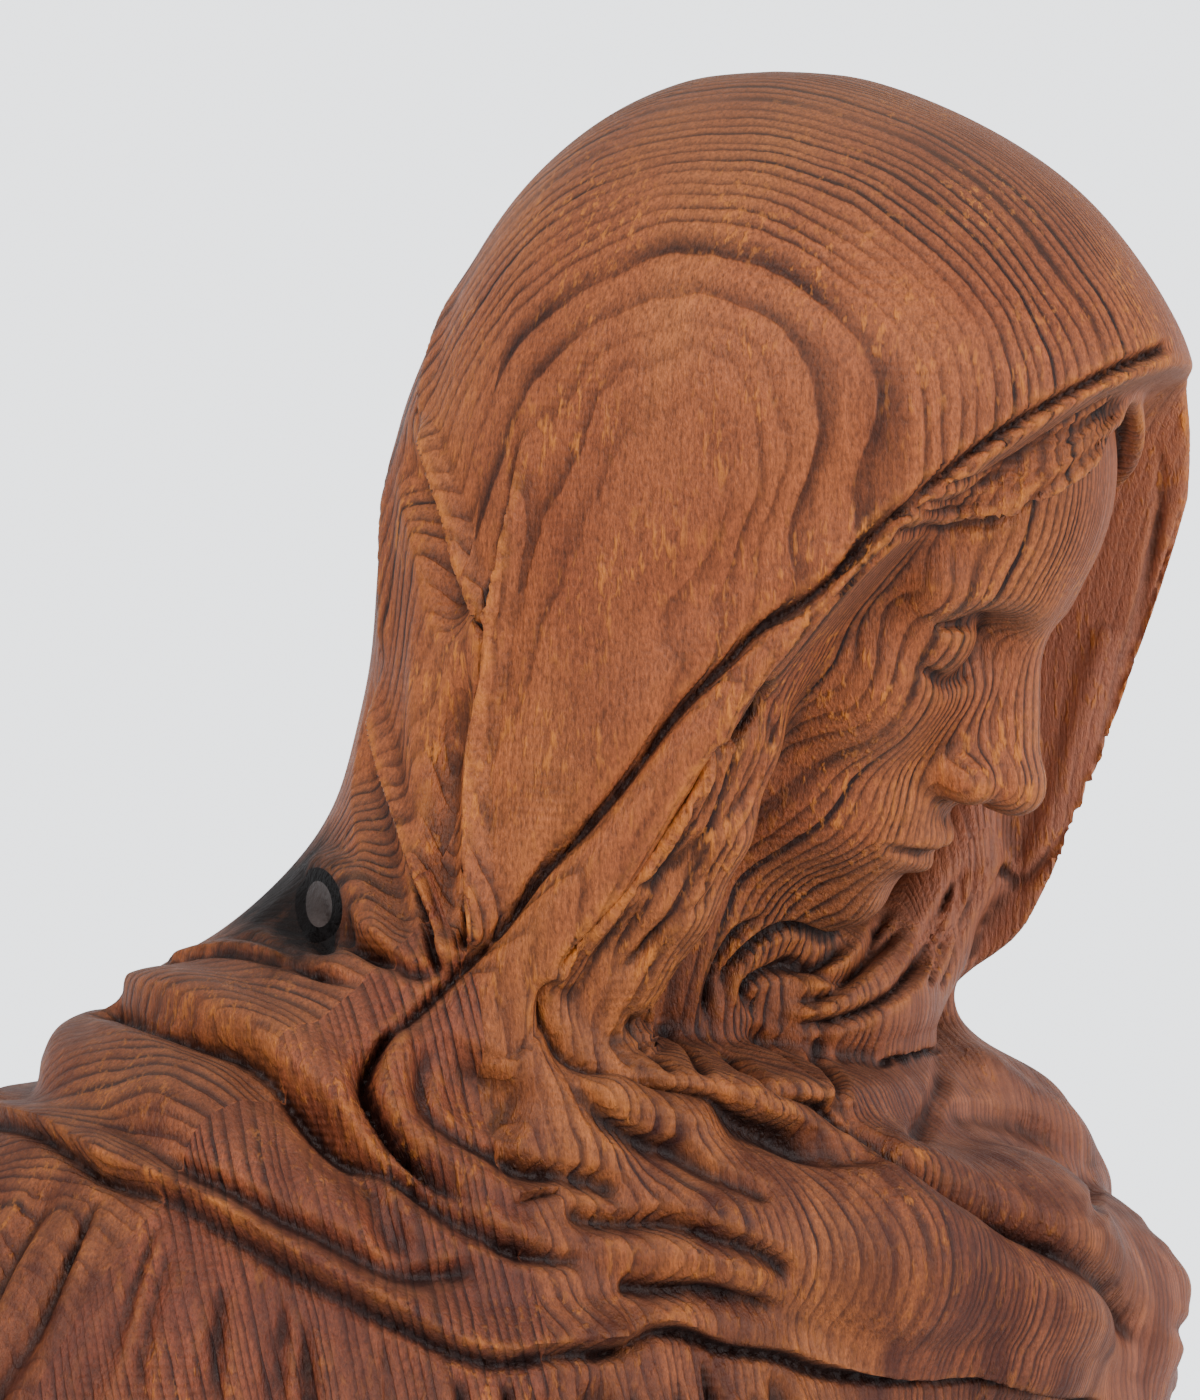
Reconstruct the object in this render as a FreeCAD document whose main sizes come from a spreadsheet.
"""Madonna bust: a veiled head and shoulders carved from six glued boards, on an oval plinth.

Frame: +Z up, origin under the middle of the plinth, millimetres. The chest faces -Y and the figure's
own right side is -X. The head is turned to the figure's left and bowed.
"""
import FreeCAD, Part
import math
import os

import Sketcher

DOC = FreeCAD.newDocument("madonna_bust")
SHEET = DOC.addObject("Spreadsheet::Sheet", "Dimensions")

# Plain driving dimensions, one cell each.
DIMENSIONS = {
    "foot_height": 3,
    "foot_radius": 8,
    "foot_spread_x": 66,
    "foot_spread_y": 30,
    "plinth_top": 25,
    "plinth_centre_y": 5,
    "body_centre_y": 7,
    "head_yaw": -53,
    "head_pitch": 30,
    "head_forward": 37.9,
    "head_level": 214,
    "head_half_depth": 39,
    "head_half_width": 31,
    "head_half_height": 48,
    "jaw_forward": 50,
    "jaw_level": 184,
    "jaw_half_depth": 22,
    "jaw_half_width": 22,
    "jaw_half_height": 23,
    "nose_forward": 73,
    "nose_level": 197,
    "nose_half_depth": 9,
    "nose_half_width": 6.5,
    "nose_half_height": 13,
    "neck_radius": 25,
    "neck_base_level": 120,
    "neck_base_forward": 8,
    "neck_length": 80,
    "neck_lean": 22,
    "cape_centre_x": -57,
    "cape_centre_y": -1,
    "cape_level": 100,
    "cape_half_x": 45,
    "cape_half_y": 46,
    "cape_half_z": 37,
    "scarf_centre_x": 22,
    "scarf_centre_y": -22,
    "scarf_level": 122,
    "scarf_half_x": 62,
    "scarf_half_y": 38,
    "scarf_half_z": 25,
    "scarf_slope": 14,
    "hood_wall": 28,
    "near_side_reach": 66,
    "layer_thickness": 46,
    "front_seam_x": -28,
    "middle_seam_x": 20,
    "back_seam_x": -10,
    "slab_half_length": 112,
    "slab_height": 250,
    "dowel_radius": 5,
    "dowel_length": 40,
    "dowel_in_plinth": 12,
    "dowel_spread": 50,
    "screw_radius": 2.5,
    "screw_head_radius": 5,
    "screw_head_height": 2.8,
    "screw_head_recess": 1,
    "screw_length": 55,
    "screw_clearance": 0.1,
    "knot_level": 165,
    "knot_across": -20,
    "knot_depth_start": 22,
    "knot_length": 40,
    "knot_fill_half_height": 4.4,
    "knot_fill_half_width": 3.2,
    "knot_core_half_height": 2.8,
    "knot_core_half_width": 1.8,
    "view_azimuth": -35,
}

# Level, half width, half depth and centre Y of the body's oval cross-sections, waist to neck.
TORSO_SECTIONS = [
    (25, 92, 56, 7),
    (45, 99, 60, 7),
    (75, 103.5, 62, 7),
    (100, 102, 61, 7),
    (118, 92, 56, 6),
    (132, 77, 48, 3),
    (145, 58, 41, -1),
    (157, 43, 35, -5),
    (166, 34, 30, -9),
]

# Level, half length (fore and aft), half width and forward centre of the hood's oval cross-sections.
HOOD_SECTIONS = [
    (138, 46, 45, 12),
    (156, 51, 46, 18.9),
    (175, 48.8, 44, 31.3),
    (194, 49.6, 43, 36.8),
    (212, 51.8, 42, 40),
    (232, 51, 40.4, 44.6),
    (243, 45.5, 37, 44.2),
    (254, 37.3, 31, 43.1),
    (262, 27.6, 23, 41.5),
    (267, 17, 14.5, 39.6),
    (270, 4, 3.6, 39),
]

# Level, half length and half width of the plinth's steps: a bevelled foot, a plain band and a cove.
PLINTH_SECTIONS = [
    (3, 98, 62),
    (5, 100, 64),
    (17, 100, 64),
    (19.5, 97, 61),
    (25, 95.5, 60),
]

# The face opening seen from the side, as forward distance and level: the near hem from its tip
# down to the neck, then out below the chin and back up in front of the face.
OPENING_POINTS = [
    (95, 233),
    (67.5, 212),
    (43, 181),
    (24, 160),
    (30, 150),
    (55, 141),
    (112, 141),
    (112, 225),
]

# Where each screw goes up through the plinth, one into each layer of the blank.
SCREW_PLACES = [(12, -34), (-48, 40), (46, 42)]


def fill_sheet():
    """Puts every driving dimension into the sheet, with its name as the cell's alias."""
    values = dict(DIMENSIONS)
    for i, (level, half_width, half_depth, centre_y) in enumerate(TORSO_SECTIONS):
        values[f"torso_level_{i}"] = level
        values[f"torso_half_width_{i}"] = half_width
        values[f"torso_half_depth_{i}"] = half_depth
        values[f"torso_centre_y_{i}"] = centre_y
    for i, (level, half_length, half_width, forward) in enumerate(HOOD_SECTIONS):
        values[f"hood_level_{i}"] = level
        values[f"hood_half_length_{i}"] = half_length
        values[f"hood_half_width_{i}"] = half_width
        values[f"hood_forward_{i}"] = forward
    for i, (level, half_length, half_width) in enumerate(PLINTH_SECTIONS):
        values[f"plinth_level_{i}"] = level
        values[f"plinth_half_length_{i}"] = half_length
        values[f"plinth_half_width_{i}"] = half_width
    for i, (forward, level) in enumerate(OPENING_POINTS):
        values[f"opening_forward_{i}"] = forward
        values[f"opening_level_{i}"] = level
    for row, (alias, value) in enumerate(values.items(), start=1):
        SHEET.set(f"A{row}", alias)
        SHEET.set(f"B{row}", str(value))
        SHEET.setAlias(f"B{row}", alias)
    DOC.recompute()


def size(alias):
    """The value of one driving dimension."""
    return float(SHEET.get(alias))


def add(kind, name, **expressions):
    """A document object whose properties are bound to expressions over the sheet's cells."""
    thing = DOC.addObject(kind, name)
    for prop, expression in expressions.items():
        bind(thing, prop.replace("__", "."), expression)
    return thing


def bind(thing, prop, expression):
    """Binds one property, with each bare alias in the expression read from the sheet."""
    for alias in sorted(ALIASES, key=len, reverse=True):
        expression = expression.replace(f"<{alias}>", f"Dimensions.{alias}")
    thing.setExpression(prop, expression)


def turned(thing, axis, degrees):
    """Turns an object about one axis through its own base point."""
    thing.Placement = FreeCAD.Placement(thing.Placement.Base, FreeCAD.Rotation(axis, degrees))
    return thing


def beside_head(thing, forward, level):
    """Places an object on the head's fore-and-aft line, at a forward distance and a level."""
    bind(thing, "Placement.Base.x", f"{forward} * cos(<head_yaw>)")
    bind(thing, "Placement.Base.y", f"{forward} * sin(<head_yaw>) + <body_centre_y>")
    bind(thing, "Placement.Base.z", level)


def ellipse(name, half_length, half_width):
    """A flat oval, used as one section of a loft or an extrusion."""
    return add("Part::Ellipse", name, MajorRadius=half_length, MinorRadius=half_width)


def loft(name, sections, ruled=False):
    """A solid drawn through a list of ovals."""
    solid = DOC.addObject("Part::Loft", name)
    solid.Sections = sections
    solid.Solid = True
    solid.Ruled = ruled
    return solid


def make_torso():
    """The draped body, from its flat base to the neck."""
    ovals = []
    for i in range(len(TORSO_SECTIONS)):
        oval = ellipse(f"TorsoOval{i}", f"<torso_half_width_{i}>", f"<torso_half_depth_{i}>")
        bind(oval, "Placement.Base.y", f"<torso_centre_y_{i}>")
        bind(oval, "Placement.Base.z", f"<torso_level_{i}>")
        ovals.append(oval)
    return loft("Torso", ovals)


def make_hood():
    """The veil over the head, a closed form before the face opening is cut."""
    ovals = []
    for i in range(len(HOOD_SECTIONS)):
        oval = ellipse(f"HoodOval{i}", f"<hood_half_length_{i}>", f"<hood_half_width_{i}>")
        turned(oval, UP, size("head_yaw"))
        beside_head(oval, f"<hood_forward_{i}>", f"<hood_level_{i}>")
        ovals.append(oval)
    return loft("Hood", ovals)


def make_opening():
    """The space in front of the near hem, which bares the face and the neck."""
    body = DOC.addObject("PartDesign::Body", "Opening")
    sketch = body.newObject("Sketcher::SketchObject", "OpeningOutline")
    upright = [f for f in body.Origin.OriginFeatures if f.Role == "XZ_Plane"][0]
    sketch.AttachmentSupport = [(upright, "")]
    sketch.MapMode = "FlatFace"
    corners = [FreeCAD.Vector(forward, level, 0) for forward, level in OPENING_POINTS]
    count = len(corners)
    for i in range(count):
        sketch.addGeometry(Part.LineSegment(corners[i], corners[(i + 1) % count]), False)
    for i in range(count):
        sketch.addConstraint(Sketcher.Constraint("Coincident", i, 2, (i + 1) % count, 1))
    for i, (forward, level) in enumerate(OPENING_POINTS):
        for kind, value, alias in (
            ("DistanceX", forward, f"opening_forward_{i}"),
            ("DistanceY", level, f"opening_level_{i}"),
        ):
            row = sketch.addConstraint(Sketcher.Constraint(kind, -1, 1, i, 1, value))
            bind(sketch, f"Constraints[{row}]", f"<{alias}>")
    pad = body.newObject("PartDesign::Pad", "OpeningPad")
    pad.Profile = sketch
    bind(pad, "Length", "<hood_wall> + <near_side_reach>")
    yaw = FreeCAD.Rotation(UP, size("head_yaw"))
    far_wall = yaw.multVec(FreeCAD.Vector(0, size("hood_wall"), 0))
    body.Placement = FreeCAD.Placement(far_wall + FreeCAD.Vector(0, size("body_centre_y"), 0), yaw)
    return body


def ellipsoid(name, half_x, half_y, half_z):
    """An ellipsoid with its three half sizes along its own X, Y and Z."""
    return add("Part::Ellipsoid", name, Radius1=half_z, Radius2=half_x, Radius3=half_y)


def make_head():
    """A plain head in general proportions: skull, jaw, nose and neck, bowed inside the veil."""
    pieces = []
    for part in ("head", "jaw", "nose"):
        blob = ellipsoid(
            part.title(), f"<{part}_half_depth>", f"<{part}_half_width>", f"<{part}_half_height>"
        )
        bow = FreeCAD.Rotation(FreeCAD.Vector(0, 1, 0), size("head_pitch"))
        blob.Placement = FreeCAD.Placement(
            FreeCAD.Vector(), FreeCAD.Rotation(UP, size("head_yaw")).multiply(bow)
        )
        beside_head(blob, f"<{part}_forward>", f"<{part}_level>")
        pieces.append(blob)
    neck = add("Part::Cylinder", "Neck", Radius="<neck_radius>", Height="<neck_length>")
    lean = FreeCAD.Rotation(FreeCAD.Vector(0, 1, 0), size("neck_lean"))
    neck.Placement = FreeCAD.Placement(
        FreeCAD.Vector(), FreeCAD.Rotation(UP, size("head_yaw")).multiply(lean)
    )
    beside_head(neck, "<neck_base_forward>", "<neck_base_level>")
    pieces.append(neck)
    return pieces


def make_drapery():
    """The two swellings of cloth: the cape on the right shoulder and the scarf across the chest."""
    swellings = []
    for part in ("cape", "scarf"):
        blob = ellipsoid(
            part.title(), f"<{part}_half_x>", f"<{part}_half_y>", f"<{part}_half_z>"
        )
        bind(blob, "Placement.Base.x", f"<{part}_centre_x>")
        bind(blob, "Placement.Base.y", f"<{part}_centre_y>")
        bind(blob, "Placement.Base.z", f"<{part}_level>")
        swellings.append(blob)
    turned(swellings[1], FreeCAD.Vector(0, 1, 0), size("scarf_slope"))
    return swellings


def make_dowels(name):
    """The two locating dowels, or the holes for them."""
    pegs = []
    for i, side in enumerate((-1, 1)):
        peg = add(
            "Part::Cylinder",
            f"{name}{i}",
            Radius="<dowel_radius>",
            Height="<dowel_length>",
            Placement__Base__x=f"{side} * <dowel_spread>",
            Placement__Base__y="<body_centre_y>",
            Placement__Base__z="<plinth_top> - <dowel_in_plinth>",
        )
        pegs.append(peg)
    return pegs


def make_screws(name, clearance):
    """The three countersunk screws, or the holes that they go through."""
    screws = []
    underside = "<foot_height> + <screw_head_recess>"
    for i, (x, y) in enumerate(SCREW_PLACES):
        shank = add(
            "Part::Cylinder",
            f"{name}Shank{i}",
            Radius=f"<screw_radius> + {clearance}",
            Height="<screw_length> - <screw_head_height>",
            Placement__Base__z=f"{underside} + <screw_head_height>",
        )
        head = add(
            "Part::Cone",
            f"{name}Head{i}",
            Radius1=f"<screw_head_radius> + {clearance}",
            Radius2=f"<screw_radius> + {clearance}",
            Height="<screw_head_height>",
            Placement__Base__z=underside,
        )
        parts = [shank, head]
        if clearance:
            recess = add(
                "Part::Cylinder",
                f"{name}Recess{i}",
                Radius=f"<screw_head_radius> + {clearance}",
                Height="<screw_head_recess>",
                Placement__Base__z="<foot_height>",
            )
            parts.append(recess)
        for piece in parts:
            bind(piece, "Placement.Base.x", str(x))
            bind(piece, "Placement.Base.y", str(y))
        screws.append(fuse(f"{name}{i}", parts))
    return screws


def make_oval_plug(name, half_height, half_width):
    """An oval bar that goes into the back of the neck along the knot's own axis."""
    outline = ellipse(f"{name}Outline", half_height, half_width)
    bar = add("Part::Extrusion", name, LengthFwd="<knot_length>")
    bar.Base = outline
    bar.Solid = True
    bar.DirMode = "Custom"
    across = FreeCAD.Vector(COS_VIEW, SIN_VIEW, 0)
    outward = FreeCAD.Vector(SIN_VIEW, -COS_VIEW, 0)
    bar.Dir = outward
    # The oval's long axis stands upright and its normal points outward, to the figure's front right.
    axes = FreeCAD.Rotation(UP, across.negative(), outward, "ZXY")
    start = across * size("knot_across") + outward * size("knot_depth_start")
    start += FreeCAD.Vector(0, size("body_centre_y"), size("knot_level"))
    outline.Placement = FreeCAD.Placement(start, axes)
    return bar


def fuse(name, pieces):
    """Several solids joined into one."""
    joined = DOC.addObject("Part::MultiFuse", name)
    joined.Shapes = pieces
    return joined


def cut(name, base, tool):
    """One solid with another taken away."""
    rest = DOC.addObject("Part::Cut", name)
    rest.Base = base
    rest.Tool = tool
    return rest


def common(name, first, second):
    """What two solids share."""
    shared = DOC.addObject("Part::Common", name)
    shared.Base = first
    shared.Tool = second
    return shared


def make_board(name, carving, layer, seam, side):
    """One board of the blank: the carving inside a slab, on one side of the layer's seam."""
    front_face = f"-1.5 * <layer_thickness> + {layer} * <layer_thickness>"
    slab = add(
        "Part::Box",
        f"{name}_slab",
        Width="<layer_thickness>",
        Height="<slab_height>",
        Placement__Base__y=front_face,
        Placement__Base__z="<plinth_top>",
    )
    if side == "right":
        bind(slab, "Length", f"<slab_half_length> + <{seam}>")
        bind(slab, "Placement.Base.x", "-<slab_half_length>")
    else:
        bind(slab, "Length", f"<slab_half_length> - <{seam}>")
        bind(slab, "Placement.Base.x", f"<{seam}>")
    board = common(name, carving, slab)
    board.Label = name
    return board


def make_plinth():
    """The oval base board, with a bevelled foot, a cove, dowel holes and screw holes."""
    ovals = []
    for i in range(len(PLINTH_SECTIONS)):
        oval = ellipse(f"PlinthOval{i}", f"<plinth_half_length_{i}>", f"<plinth_half_width_{i}>")
        bind(oval, "Placement.Base.y", "<plinth_centre_y>")
        bind(oval, "Placement.Base.z", f"<plinth_level_{i}>")
        ovals.append(oval)
    blank = loft("PlinthBlank", ovals, ruled=True)
    holes = fuse("PlinthHoles", make_dowels("PlinthDowelHole") + make_screws("PlinthScrewHole", CLEARANCE))
    plinth = cut("plinth", blank, holes)
    plinth.Label = "plinth"
    return plinth


def make_feet():
    """Four round pads under the plinth."""
    pads = []
    for i, (side, end) in enumerate(((-1, -1), (-1, 1), (1, -1), (1, 1))):
        pads.append(
            add(
                "Part::Cylinder",
                f"FootPad{i}",
                Radius="<foot_radius>",
                Height="<foot_height>",
                Placement__Base__x=f"{side} * <foot_spread_x>",
                Placement__Base__y=f"{end} * <foot_spread_y> + <plinth_centre_y>",
            )
        )
    return pads


def group(name, pieces):
    """Identical pieces that share one node, as separate solids."""
    node = DOC.addObject("Part::Compound", name)
    node.Links = pieces
    node.Label = name
    return node


UP = FreeCAD.Vector(0, 0, 1)
fill_sheet()
ALIASES = [SHEET.getAlias(cell) for cell in SHEET.getUsedCells() if SHEET.getAlias(cell)]
CLEARANCE = size("screw_clearance")
COS_VIEW = math.cos(math.radians(size("view_azimuth")))
SIN_VIEW = math.sin(math.radians(size("view_azimuth")))

hood_shell = cut("OpenHood", make_hood(), make_opening())
whole = fuse("WholeFigure", [make_torso(), hood_shell] + make_head() + make_drapery())
bores = fuse("FigureBores", make_dowels("FigureDowelHole") + make_screws("FigureScrewHole", CLEARANCE))
bored = cut("BoredFigure", whole, bores)

fill_bar = make_oval_plug("KnotFillBar", "<knot_fill_half_height>", "<knot_fill_half_width>")
core_bar = make_oval_plug("KnotCoreBar", "<knot_core_half_height>", "<knot_core_half_width>")
carving = cut("CarvedFigure", bored, fill_bar)
knot_fill = cut("knot_fill", common("KnotPlug", whole, fill_bar), core_bar)
knot_fill.Label = "knot_fill"
knot_core = common("knot_core", whole, core_bar)
knot_core.Label = "knot_core"

nodes = [knot_fill, knot_core, make_plinth()]
for layer, (name, seam) in enumerate(
    (("front_board", "front_seam_x"), ("middle_board", "middle_seam_x"), ("back_board", "back_seam_x"))
):
    for side in ("right", "left"):
        nodes.append(make_board(f"{name}_{side}", carving, layer, seam, side))
nodes.append(group("plinth_dowels", make_dowels("Dowel")))
nodes.append(group("plinth_screws", make_screws("Screw", 0)))
nodes.append(group("foot_pads", make_feet()))
DOC.recompute()

for thing in DOC.Objects:
    if "Invalid" in thing.State or "Error" in thing.State:
        raise RuntimeError(f"{thing.Label} failed: {thing.State}")
os.makedirs("parts", exist_ok=True)
for node in nodes:
    shape = node.Shape
    if shape.isNull() or not shape.isValid():
        raise RuntimeError(f"{node.Label} has no valid shape")
    shape.exportStep(f"parts/{node.Label}.step")
    print(node.Label, len(shape.Solids), round(shape.Volume))
